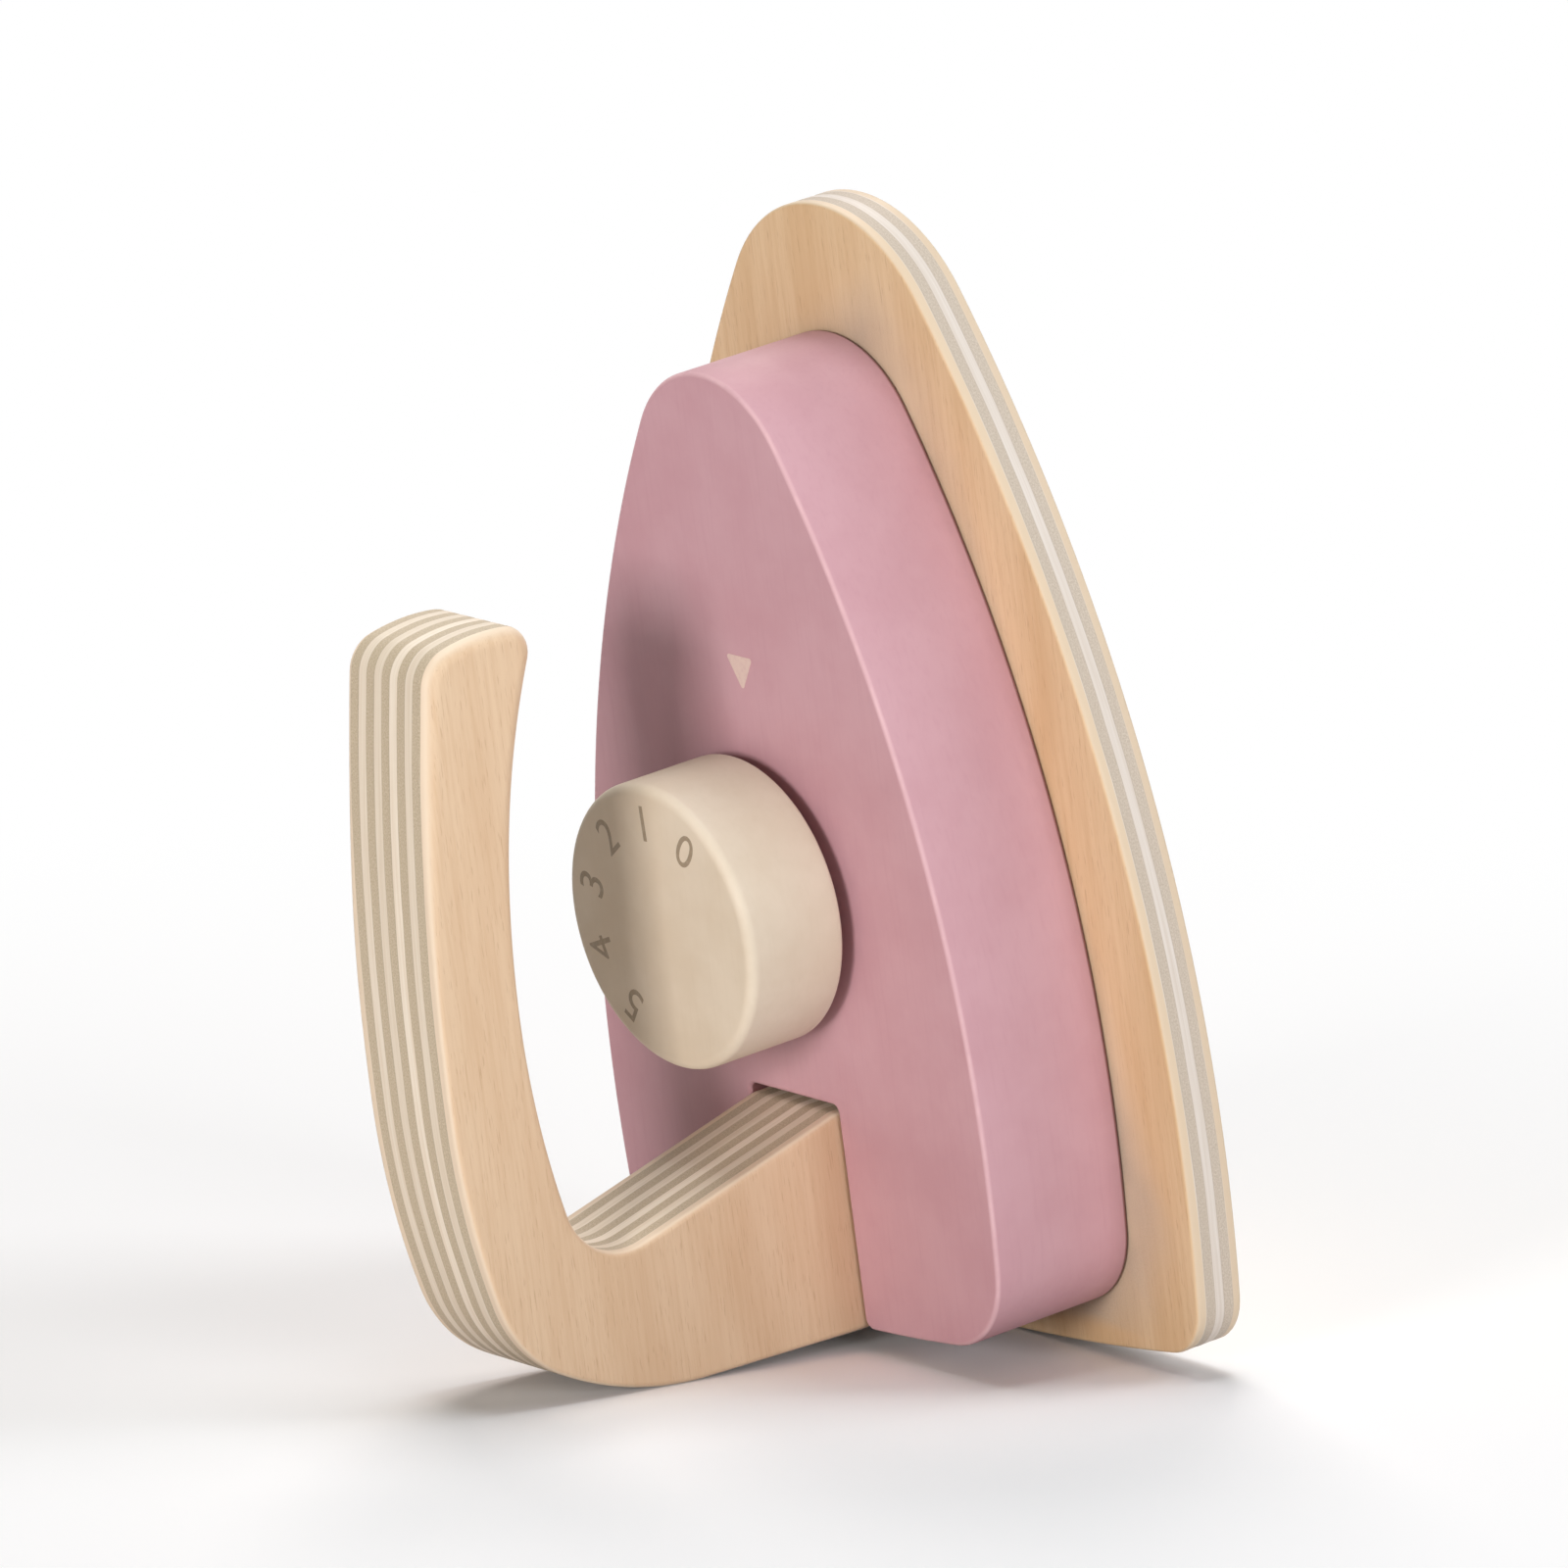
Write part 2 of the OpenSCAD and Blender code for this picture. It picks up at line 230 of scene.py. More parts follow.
def makePiece(name, points, faces, uv=None, marks=None, sharp=sharpAngle):
    # one mesh from whole arrays: a row of faces holds the corners of one face
    mesh = bpy.data.meshes.new(name)
    corners = np.concatenate([rows.ravel() for rows in faces]).astype(np.int32)
    sizes = np.concatenate([np.full(len(rows), rows.shape[1]) for rows in faces])
    mesh.vertices.add(len(points))
    mesh.vertices.foreach_set("co", np.ascontiguousarray(points, np.float32).ravel())
    mesh.loops.add(len(corners))
    mesh.loops.foreach_set("vertex_index", corners)
    mesh.polygons.add(len(sizes))
    mesh.polygons.foreach_set("loop_start", np.concatenate(([0], np.cumsum(sizes)[:-1])).astype(np.int32))
    mesh.update(calc_edges=True)
    if uv is not None:
        mesh.uv_layers.new(name="wrap").data.foreach_set("uv", uv.astype(np.float32).ravel())
    for label, values in (marks or {}).items():
        mesh.attributes.new(label, "FLOAT", "POINT").data.foreach_set("value", values.astype(np.float32))
    mesh.validate()
    mesh.set_sharp_from_angle(angle=np.radians(sharp))
    return linked(name, mesh)


def cutAway(piece, cutters):
    # takes the cutters out of the piece and throws them away; the result is the piece's own mesh
    for cutter in cutters:
        hole = piece.modifiers.new("hole", "BOOLEAN")
        hole.operation, hole.solver, hole.object = "DIFFERENCE", "EXACT", cutter
    graph = bpy.context.evaluated_depsgraph_get()
    cut = piece.evaluated_get(graph)
    mesh = bpy.data.meshes.new_from_object(cut, preserve_all_data_layers=True, depsgraph=graph)
    piece.modifiers.clear()
    piece.data = mesh
    mesh.set_sharp_from_angle(angle=np.radians(sharpAngle))
    for cutter in cutters:
        bpy.data.objects.remove(cutter)


def drill(u, y, low, high, radius):
    # a plain drill along w, used only to cut with
    points, faces = turned([0, radius, radius, 0], [low, low, high, high], fineness["drill"])
    return makePiece("drill", stand(u + points[:, 0], y + points[:, 1], points[:, 2]), faces)


def dress(piece, body, material, slot, *nodes):
    # the piece rides on its body, takes its finish and stands for the nodes
    piece.data.materials.clear()
    piece.data.materials.append(material)
    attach(piece, body)
    if nodes:
        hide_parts(*nodes)
    return piece


# Shader helpers
def feed(tree, node, values):
    # each value is a constant, or the socket that feeds the input
    for name, value in values.items():
        if isinstance(value, bpy.types.NodeSocket):
            tree.links.new(value, node.inputs[name])
        else:
            node.inputs[name].default_value = value
    return node


def put(tree, kind, values=None, **settings):
    # adds a node with its settings and feeds its inputs
    made = tree.nodes.new("ShaderNode" + kind)
    for name, value in settings.items():
        setattr(made, name, value)
    return feed(tree, made, values or {})


def maths(tree, operation, a, b=0.0, clamp=False):
    return put(tree, "Math", {0: a, 1: b}, operation=operation, use_clamp=clamp).outputs[0]


def plus(tree, a, b, clamp=False):
    return maths(tree, "ADD", a, b, clamp)


def minus(tree, a, b):
    return maths(tree, "SUBTRACT", a, b)


def times(tree, a, b, clamp=False):
    return maths(tree, "MULTIPLY", a, b, clamp)


def ease(tree, value, low, high, toLow=0.0, toHigh=1.0):
    # smooth step of the value between low and high
    values = {"Value": value, "From Min": low, "From Max": high, "To Min": toLow, "To Max": toHigh}
    return put(tree, "MapRange", values, interpolation_type="SMOOTHSTEP").outputs["Result"]


noiseMiddle = (0.3, 0.7)  # most of a noise lies between these
noiseMean = 0.5


def spread(tree, value, toLow=0.0, toHigh=1.0):
    # the middle of a noise drawn out over the whole range
    return ease(tree, value, *noiseMiddle, toLow, toHigh)


def blendOf(tree, factor, a, b):
    return put(tree, "Mix", {0: factor, 6: a, 7: b}, data_type="RGBA").outputs[2]


def overlay(tree, colour, value, look, name):
    # the named colour of the look lies over the colour where the value climbs its step, as far as it may show
    share = ease(tree, value, *look[name + "Step"], 0.0, look[name + "Show"])
    return blendOf(tree, share, colour, look[name])


def finish(material, look, colour, roughness, height):
    # the colour, the roughness, a bump of the height as deep as the look says, and the look's own constants
    tree = material.node_tree
    bump = {"Height": height, "Strength": look["bump"], "Distance": look["bumpDepth"] * mm}
    feed(tree, tree.nodes["Principled BSDF"], {
        "Base Color": colour, "Roughness": roughness, "Normal": put(tree, "Bump", bump).outputs[0],
        **look["shader"],
    })
    return material


def tint(red, green, blue):
    # a colour as it reads in a picture, 0 to 255, as the linear values that a shader takes
    share = np.array([red, green, blue]) / 255
    linear = np.where(share <= 0.04045, share / 12.92, ((share + 0.055) / 1.055) ** 2.4)
    return (*(float(part) for part in linear), 1.0)


# Noises: patches to a metre, the same all round or along x, y and z, with their detail and roughness;
# a step makes the noise a mask that rises between its two values
patterns = {
    "figure": {"perMetre": (16, 110, 110), "detail": 3, "roughness": 0.55},
    "fibre": {"perMetre": (70, 1500, 1500), "detail": 4, "roughness": 0.6},
    "pores": {"perMetre": (380, 5200, 5200), "detail": 1, "roughness": 0.5, "step": (0.62, 0.74)},
    "flecks": {"perMetre": (700, 3200, 3200), "detail": 1, "roughness": 0.5, "step": (0.58, 0.66)},
    "plyDrift": {"perMetre": 45, "detail": 2, "roughness": 0.5},
    "streak": {"perMetre": (45, 2600, 1), "detail": 3, "roughness": 0.6},
    "endGrain": {"perMetre": (3800, 5200, 1), "detail": 2, "roughness": 0.6},
    "mottle": {"perMetre": 60, "detail": 4, "roughness": 0.6},
    "peel": {"perMetre": 1400, "detail": 2, "roughness": 0.5},
    "thinPlaces": {"perMetre": 260, "detail": 3, "roughness": 0.6, "step": (0.42, 0.68)},
    "tangle": {"perMetre": 2600, "detail": 5, "roughness": 0.7},
    "clumps": {"perMetre": 500, "detail": 3, "roughness": 0.6},
    "scratches": {"perMetre": (300, 9000, 9000), "detail": 2, "roughness": 0.5},
    "inkCover": {"perMetre": 1800, "detail": 3, "roughness": 0.6},
    "inkSheen": {"perMetre": 900, "detail": 2, "roughness": 0.5},
}


def pattern(tree, vector, name):
    # one of the noises above, stretched where it has a scale for each direction
    look = patterns[name]
    scale = look["perMetre"]
    if isinstance(scale, tuple):
        vector = put(tree, "VectorMath", {0: vector, 1: scale}, operation="MULTIPLY").outputs[0]
        scale = 1.0
    values = {"Vector": vector, "Scale": scale, "Detail": look["detail"], "Roughness": look["roughness"]}
    value = put(tree, "TexNoise", values).outputs[0]
    return ease(tree, value, *look["step"]) if "step" in look else value


def newGroup(name, inputs, outputs):
    # a node group with named sockets; returns the group, what it is given and its end node
    group = bpy.data.node_groups.new(name, "ShaderNodeTree")
    for label, kind in inputs.items():
        group.interface.new_socket(name=label, in_out="INPUT", socket_type="NodeSocket" + kind)
    for label in outputs:
        group.interface.new_socket(name=label, in_out="OUTPUT", socket_type="NodeSocketFloat")
    return group, group.nodes.new("NodeGroupInput").outputs, group.nodes.new("NodeGroupOutput")


def useGroup(tree, group, values):
    made = tree.nodes.new("ShaderNodeGroup")
    made.node_tree = group
    return feed(tree, made, values).outputs


def woodGrain():
    # grain along the vector's x: a broad figure, fine fibres and short pores, from noise stretched along x
    group, given, end = newGroup("woodGrain", {"Vector": "Vector"}, ("Figure", "Fibre", "Pores"))
    for label in ("Figure", "Fibre", "Pores"):
        feed(group, end, {label: pattern(group, given["Vector"], label.lower())})
    return group


plyLines = {"wander": 0.35, "crossEdge": 0.16, "seamEdge": 0.2}


def plyLayers():
    # depth over ply thickness counts the plies; every second one runs across, with a thin glue line between;
    # the lines wander a little with a noise of the place
    group, given, end = newGroup(
        "plyLayers", {"Depth": "Float", "Ply": "Float", "Vector": "Vector"}, ("Cross", "Seam", "Tone"))
    drift = minus(group, pattern(group, given["Vector"], "plyDrift"), noiseMean)
    count = maths(group, "DIVIDE", given["Depth"], given["Ply"])
    layer = plus(group, count, times(group, drift, plyLines["wander"]))
    swing = maths(group, "SINE", times(group, layer, float(np.pi)))
    number = maths(group, "FLOOR", layer)
    feed(group, end, {
        "Cross": ease(group, swing, plyLines["crossEdge"], -plyLines["crossEdge"]),
        "Seam": ease(group, maths(group, "ABSOLUTE", swing), plyLines["seamEdge"], 0.0),
        "Tone": put(group, "TexWhiteNoise", {"W": number}, noise_dimensions="1D").outputs["Value"],
    })
    return group


rimPower = 3.0  # how closely the wear keeps to the middle of a rim


def paintFilm():
    # an unevenly taken-up coat: broad mottle, fine orange peel, and thin places along worn rims
    group, given, end = newGroup(
        "paintFilm", {"Vector": "Vector", "Rim": "Float"}, ("Mottle", "Peel", "Worn"))
    vector = given["Vector"]
    sharpRim = maths(group, "POWER", given["Rim"], rimPower)
    feed(group, end, {
        "Mottle": pattern(group, vector, "mottle"),
        "Peel": pattern(group, vector, "peel"),
        "Worn": times(group, sharpRim, pattern(group, vector, "thinPlaces"), clamp=True),
    })
    return group


grainGroup, plyGroup, filmGroup = woodGrain(), plyLayers(), paintFilm()


def lyingPlace(tree):
    # object coordinates turned back to the lying iron: x is u, y is y and z is w, in metres
    origin = np.array([reach / 2, 0, soleTop * leanSin]) * mm
    turnBack = Matrix(((-leanSin, 0, leanCos), (0, 1, 0), (-leanCos, 0, -leanSin)))
    place = put(tree, "TexCoord").outputs["Object"]
    back = {"Vector": place, "Location": -(turnBack @ Vector(origin)), "Rotation": turnBack.to_euler()}
    return put(tree, "Mapping", back).outputs[0]


def newMaterial(name):
    # the material, its tree and the place on the lying iron
    made = bpy.data.materials.new(name)
    made.use_nodes = True
    return made, made.node_tree, lyingPlace(made.node_tree)


# In a look, Show is how far a colour may show, Step where its mask starts and is full, shader what the shader
# has as constants, and bumpDepth is in millimetres
plywoodFinish = {
    "flatStep": (0.5, 0.97), "fibreStep": (0.35, 0.75), "fibreShow": 0.35, "poreShow": 0.3, "toneShow": 0.25,
    "outerPly": (1.05, 0.85), "knotRagged": 0.4, "knotCore": 0.3, "roughness": (0.44, 0.56),
    "crossRoughness": 0.12, "poreDepth": 0.8, "bump": 0.25, "bumpDepth": 0.06,
    "shader": {"Specular IOR Level": 0.3, "Coat Weight": 0.05, "Coat Roughness": 0.4},
}


def plywood(name, look):
    # face veneer where the surface lies flat and plies on the walls, one fading into the other over the edge
    look = {**plywoodFinish, **look}
    material, tree, lying = newMaterial(name)
    height = put(tree, "SeparateXYZ", {0: lying}).outputs[look["stackAxis"]]
    depth = plus(tree, height, look["stackOffset"] * mm)
    ply = look["thickness"] / look["plies"] * mm
    grain = useGroup(tree, grainGroup, {"Vector": lying})
    layers = useGroup(tree, plyGroup, {"Depth": depth, "Ply": ply, "Vector": lying})
    wrap = put(tree, "UVMap", uv_map="wrap").outputs[0]
    flatness = put(tree, "Attribute", attribute_name="flatness").outputs["Fac"]
    flat = ease(tree, flatness, *look["flatStep"])
    wall = minus(tree, 1.0, flat)

    veneer = blendOf(tree, spread(tree, grain["Figure"]), look["faceLight"], look["faceDark"])
    veneer = overlay(tree, veneer, grain["Fibre"], look, "fibre")
    veneer = blendOf(tree, times(tree, grain["Pores"], look["poreShow"]), veneer, look["pore"])

    streak, endGrain = pattern(tree, wrap, "streak"), pattern(tree, wrap, "endGrain")
    longPly = blendOf(tree, spread(tree, streak), look["longLight"], look["longDark"])
    crossPly = blendOf(tree, spread(tree, endGrain), look["crossLight"], look["crossDark"])
    shell = maths(tree, "MINIMUM", depth, minus(tree, look["thickness"] * mm, depth))
    outer = ease(tree, shell, *(share * ply for share in look["outerPly"]))
    longPly = blendOf(tree, outer, longPly, look["veneerEdge"])
    stack = blendOf(tree, layers["Cross"], longPly, crossPly)
    stack = blendOf(tree, times(tree, layers["Tone"], look["toneShow"]), stack, look["crossDark"])
    seam = times(tree, times(tree, layers["Seam"], wall), look["seam"])
    stack = blendOf(tree, seam, stack, look["glue"])
    colour = blendOf(tree, flat, stack, veneer)
    for knot in look["knots"]:
        # a small dark pin knot, ragged with the fibres, round the place of its centre
        centre = tuple(part * mm for part in knot["place"])
        away = put(tree, "VectorMath", {0: lying, 1: centre}, operation="DISTANCE").outputs["Value"]
        ragged = plus(tree, away, times(tree, grain["Fibre"], look["knotRagged"] * mm))
        spot = ease(tree, ragged, knot["radius"] * mm, look["knotCore"] * knot["radius"] * mm)
        colour = blendOf(tree, times(tree, spot, knot["show"]), colour, knot["colour"])

    rough = spread(tree, grain["Fibre"], *look["roughness"])
    crossRough = times(tree, times(tree, layers["Cross"], wall), look["crossRoughness"])
    faceRelief = minus(tree, grain["Fibre"], times(tree, grain["Pores"], look["poreDepth"]))
    edgeRelief = blendOf(tree, layers["Cross"], streak, endGrain)
    relief = put(tree, "Mix", {0: flat, 2: edgeRelief, 3: faceRelief}).outputs[0]
    return finish(material, look, colour, plus(tree, rough, crossRough), relief)


paintFinish = {
    "fibreStep": (0.45, 0.8), "jointShadeShow": 0.75, "fibreRelief": 0.6, "bump": 0.2, "bumpDepth": 0.05,
    "shader": {"Specular IOR Level": 0.25},
}


def paintCoat(name, look):
    # satin paint over wood: mottled colour, thin on the rims and lighter along them as thin paint and a
    # painted highlight, with orange peel and a trace of the grain;
    # a rim below zero is an edge that sits on another part, where a thin dark line of painted shade lies in
    # the joint
    look = {**paintFinish, **look}
    material, tree, lying = newMaterial(name)
    mark = put(tree, "Attribute", attribute_name="rim").outputs["Fac"]
    rim = maths(tree, "MAXIMUM", mark, 0.0)
    seat = maths(tree, "MAXIMUM", times(tree, mark, -1.0), 0.0, clamp=True)
    film = useGroup(tree, filmGroup, {"Vector": lying, "Rim": rim})
    grain = useGroup(tree, grainGroup, {"Vector": lying})
    colour = blendOf(tree, spread(tree, film["Mottle"]), look["base"], look["shade"])
    colour = overlay(tree, colour, grain["Fibre"], look, "fibre")
    # wear in patches, plus thin paint and a painted highlight of even strength along every rounded rim
    thin = plus(tree, times(tree, film["Worn"], look["wear"]), times(tree, rim, look["thinRimAndHighlight"]), clamp=True)
    colour = blendOf(tree, thin, colour, look["wornAndHighlight"])
    # painted shade: a dark line where an edge sits in a joint
    colour = blendOf(tree, times(tree, seat, look["jointShadeShow"]), colour, look["seam"])
    relief = plus(tree, film["Peel"], times(tree, grain["Fibre"], look["fibreRelief"]))
    return finish(material, look, colour, spread(tree, film["Mottle"], *look["roughness"]), relief)


feltLook = {
    "dark": tint(62, 46, 44), "light": tint(98, 78, 74), "clump": tint(76, 58, 54), "clumpStep": (0.4, 0.7),
    "clumpShow": 0.4, "roughness": 0.95, "bump": 0.8, "bumpDepth": 0.2, "shader": {"Sheen Weight": 0.4},
}


def feltFinish(look):
    # pressed wool: tangled fibres from two noises, dull, with a soft sheen
    material, tree, lying = newMaterial("pressedFelt")
    tangle, clumps = pattern(tree, lying, "tangle"), pattern(tree, lying, "clumps")
    colour = blendOf(tree, spread(tree, tangle), look["dark"], look["light"])
    colour = overlay(tree, colour, clumps, look, "clump")
    return finish(material, look, colour, look["roughness"], plus(tree, tangle, clumps))


beechLook = {
    "light": tint(222, 190, 150), "dark": tint(206, 168, 126), "fibre": tint(192, 150, 110),
    "fibreStep": (0.4, 0.75), "fibreShow": 0.4, "fleck": tint(156, 106, 72), "fleckShow": 0.6,
    "roughness": (0.55, 0.72), "bump": 0.4, "bumpDepth": 0.08, "shader": {},
}


def beechFinish(look):
    # bare beech with its grain along w: small brown flecks in warm wood, rougher on the end grain
    material, tree, lying = newMaterial("bareBeech")
    parts = put(tree, "SeparateXYZ", {0: lying}).outputs
    upright = put(tree, "CombineXYZ", {"X": parts["Z"], "Y": parts["X"], "Z": parts["Y"]}).outputs[0]
    grain = useGroup(tree, grainGroup, {"Vector": upright})
    flecks = times(tree, pattern(tree, upright, "flecks"), look["fleckShow"])
    colour = blendOf(tree, spread(tree, grain["Figure"]), look["light"], look["dark"])
    colour = blendOf(tree, flecks, overlay(tree, colour, grain["Fibre"], look, "fibre"), look["fleck"])
    return finish(material, look, colour, spread(tree, grain["Fibre"], *look["roughness"]), grain["Fibre"])


zincLook = {
    "dark": tint(206, 209, 213), "light": tint(222, 224, 226), "scratch": tint(178, 182, 188),
    "crystals": 1500.0, "scratchStep": (0.6, 0.8), "scratchShow": 0.5, "roughness": (0.26, 0.4), "bump": 0.15,
    "bumpDepth": 0.02, "shader": {"Metallic": 1.0},
}


def zincFinish(look):
    # bright zinc plate: faint crystal patches, fine scratches and a cool cast
    material, tree, lying = newMaterial("zincPlate")
    crystals = put(tree, "TexVoronoi", {"Vector": lying, "Scale": look["crystals"]}).outputs["Color"]
    patch = put(tree, "SeparateColor", {0: crystals}).outputs[0]
    scratches = pattern(tree, lying, "scratches")
    colour = overlay(tree, blendOf(tree, patch, look["dark"], look["light"]), scratches, look, "scratch")
    return finish(material, look, colour, ease(tree, patch, 0.0, 1.0, *look["roughness"]), scratches)


def inkFinish(name, ink, thin):
    # screen-printed ink, a little thin in places
    look = {"thin": thin, "thinStep": (0.45, 0.75), "thinShow": 0.55, "roughness": (0.5, 0.65)}
    material, tree, lying = newMaterial(name)
    feed(tree, tree.nodes["Principled BSDF"], {
        "Base Color": overlay(tree, ink, pattern(tree, lying, "inkCover"), look, "thin"),
        "Roughness": spread(tree, pattern(tree, lying, "inkSheen"), *look["roughness"]),
    })
    return material


pinKnot = {"place": (115.0, -33.0, 6.5), "radius": 0.9, "show": 0.8, "colour": tint(150, 98, 74)}
solePlywood = plywood("solePlywood", {
    "stackAxis": "Z", "stackOffset": 0.0, "thickness": sole["thickness"], "plies": sole["plies"],
    "faceLight": tint(230, 200, 161), "faceDark": tint(218, 183, 140), "fibre": tint(206, 166, 121),
    "pore": tint(170, 122, 84), "longLight": tint(234, 225, 217), "longDark": tint(222, 210, 198),
    "veneerEdge": tint(222, 200, 172), "crossLight": tint(208, 195, 180), "crossDark": tint(188, 172, 154),
    "glue": tint(156, 132, 108), "seam": 0.35, "knots": [pinKnot],
})
# the worn colour serves worn places and the painted highlight along the rims; the seam colour is painted
# shade in the joints
pinkPaint = paintCoat("pinkPaint", {
    "base": tint(206, 161, 169), "shade": tint(200, 153, 161), "fibre": tint(187, 138, 146),
    "wornAndHighlight": tint(230, 190, 193), "seam": tint(128, 80, 75),
    "fibreShow": 0.18, "wear": 0.3, "thinRimAndHighlight": 0.5, "roughness": (0.47, 0.59),
})
print("shaders ready")

# Sole plate
soleProfile = edgeProfile(sole["thickness"], sole["edge"], sole["edge"], sole["plies"], sole["crossSink"])
solePoints, soleFaces, soleUv, soleMarks = slab(plateOutline(sole, 0.0), soleProfile)
solePlate = makePiece("solePlate", stand(*solePoints.T), soleFaces, soleUv, soleMarks)

dowel = {
    "radius": 3.0, "inSole": 4.0, "inBlock": 10.0, "inFoot": 14.0, "chamfer": 0.6, "flutes": 14,
    "fluteDepth": 0.22, "fluteEndShare": 0.4, "footFirst": 7.0, "footStep": 14.0, "rearInset": 26.0,
    "rearSpan": 50.0, "frontInset": 24.0,
}
footDowels = [(block["inset"] + dowel["footFirst"] + step * dowel["footStep"], 0.0) for step in (0, 1)]
blockDowels = [(block["inset"] + dowel["rearInset"], side * dowel["rearSpan"] / 2) for side in (-1, 1)]
blockDowels.append((block["inset"] + block["length"] - dowel["frontInset"], 0.0))
dowelLow = soleTop - dowel["inSole"]


def dowelHoles(places, low, high):
    return [drill(u, y, low, high, dowel["radius"]) for u, y in places]


cutAway(solePlate, dowelHoles(footDowels + blockDowels, dowelLow, soleTop + overrun))
dress(solePlate, "iron", solePlywood, "sole_plywood", "sole_plate")
print("sole plate made")

# Painted block with its slot, bore, washer pocket and dowel holes
handle = {
    "thickness": 17.4, "gripHeight": 85.4, "gripThickness": 12.3, "gripEnd": 108.8, "footFall": 13.5,
    "footEndGap": 0.6, "backRadius": 300.0, "lowBackRadius": 100.0, "underRadius": 45.0, "bendRadius": 18.0,
    "palmRadius": 115.0, "crookRadius": 9.0, "endInRadius": 3.5, "endBow": 27.0, "endOutRadius": 5.0,
    "backMiddle": 50.0, "palmMiddle": 59.5, "underStart": 50.0, "sweepRise": 1.1, "footCorner": 2.0,
    "footBreak": 4.0, "edge": 0.75, "softEdge": 1.9, "softFrom": 62.0, "softTo": 100.0, "plies": 11,
    "crossSink": 0.035,
}
knob = {
    "inset": 56.3, "radius": 18.5, "thickness": 14.6, "frontEdge": 1.4, "backEdge": 0.6, "backLip": 0.4,
    "faceRings": (0.97, 0.5, 0.0), "feltRadius": 13.0, "feltThickness": 2.0, "runGap": 0.3, "axleRadius": 4.0,
    "axleSeat": 10.0,
}
knobCentre = block["inset"] + knob["inset"]


def slotRuns():
    # from the bowed heel into the slot: round its mouth, up its wall and round its inner corner to the end;
    # also the angle at which the heel's arc stops for the mouth
    slotHalf = handle["thickness"] / 2 + block["slotGap"]
    slotEnd = block["inset"] + block["slotLength"] + block["slotRelief"]
    mouthY = slotHalf + block["slotMouth"]
    bowDepth = block["heelRadius"] - np.sqrt(block["heelRadius"] ** 2 - mouthY ** 2)
    mouth = (block["inset"] + bowDepth + block["slotMouth"], mouthY)
    corner = (slotEnd - block["slotCorner"], slotHalf - block["slotCorner"])
    runs = [arcRun(mouth, block["slotMouth"], 180, 270), arcRun(corner, block["slotCorner"], 90, 0)]
    return runs, 180 - float(np.degrees(np.arcsin(mouthY / block["heelRadius"])))


def blockProfiles(points):
    # a rim of -1 marks where painted shade lies in the joints: low on the edge that sits on the sole, and up
    # the slot's wall to the middle of its rounded edge
    plain = edgeProfile(block["thickness"], block["backEdge"], block["frontEdge"])
    height, rim = plain[:, 1], plain[:, 3]
    inSlot = plain.copy()
    plain[:, 3] = np.where(height < block["jointShadeShare"] * block["backEdge"], -1.0, rim)
    inSlot[:, 3] = np.where(height < block["thickness"] - block["frontEdge"] / 2, -1.0, 0.0)
    slotEnds = block["inset"] + block["slotLength"] + overrun, handle["thickness"] / 2 + overrun
    slotWall = (np.abs(points) < slotEnds).all(axis=1)
    return np.where(slotWall[:, None, None], inSlot, plain)


outlineOfBlock = plateOutline(block, block["inset"], *slotRuns())
blockPoints, blockFaces, blockUv, blockMarks = slab(outlineOfBlock, blockProfiles(outlineOfBlock[0]))
paintedBlock = makePiece(
    "paintedBlock", stand(blockPoints[:, 0], blockPoints[:, 1], blockPoints[:, 2] + soleTop),
    blockFaces, blockUv, blockMarks)
blockLow = soleTop - overrun
cutAway(paintedBlock, [
    drill(knobCentre, 0.0, blockLow, soleTop + block["pocketDepth"], block["pocketRadius"]),
    drill(knobCentre, 0.0, blockLow, blockTop + overrun, block["boreRadius"]),
] + dowelHoles(blockDowels, blockLow, soleTop + block["dowelDepth"]))
dress(paintedBlock, "iron", pinkPaint, "pink_paint", "body_block")
print("block made")

# Handle
handlePlywood = plywood("handlePlywood", {
    "stackAxis": "Y", "stackOffset": handle["thickness"] / 2,
    "thickness": handle["thickness"], "plies": handle["plies"],
    "faceLight": tint(229, 200, 167), "faceDark": tint(219, 186, 151), "fibre": tint(205, 165, 124),
    "pore": tint(176, 130, 92), "longLight": tint(246, 233, 214), "longDark": tint(235, 218, 195),
    "veneerEdge": tint(242, 220, 194), "crossLight": tint(212, 196, 171), "crossDark": tint(186, 168, 141),
    "glue": tint(152, 130, 104), "seam": 0.4, "knots": [],
})


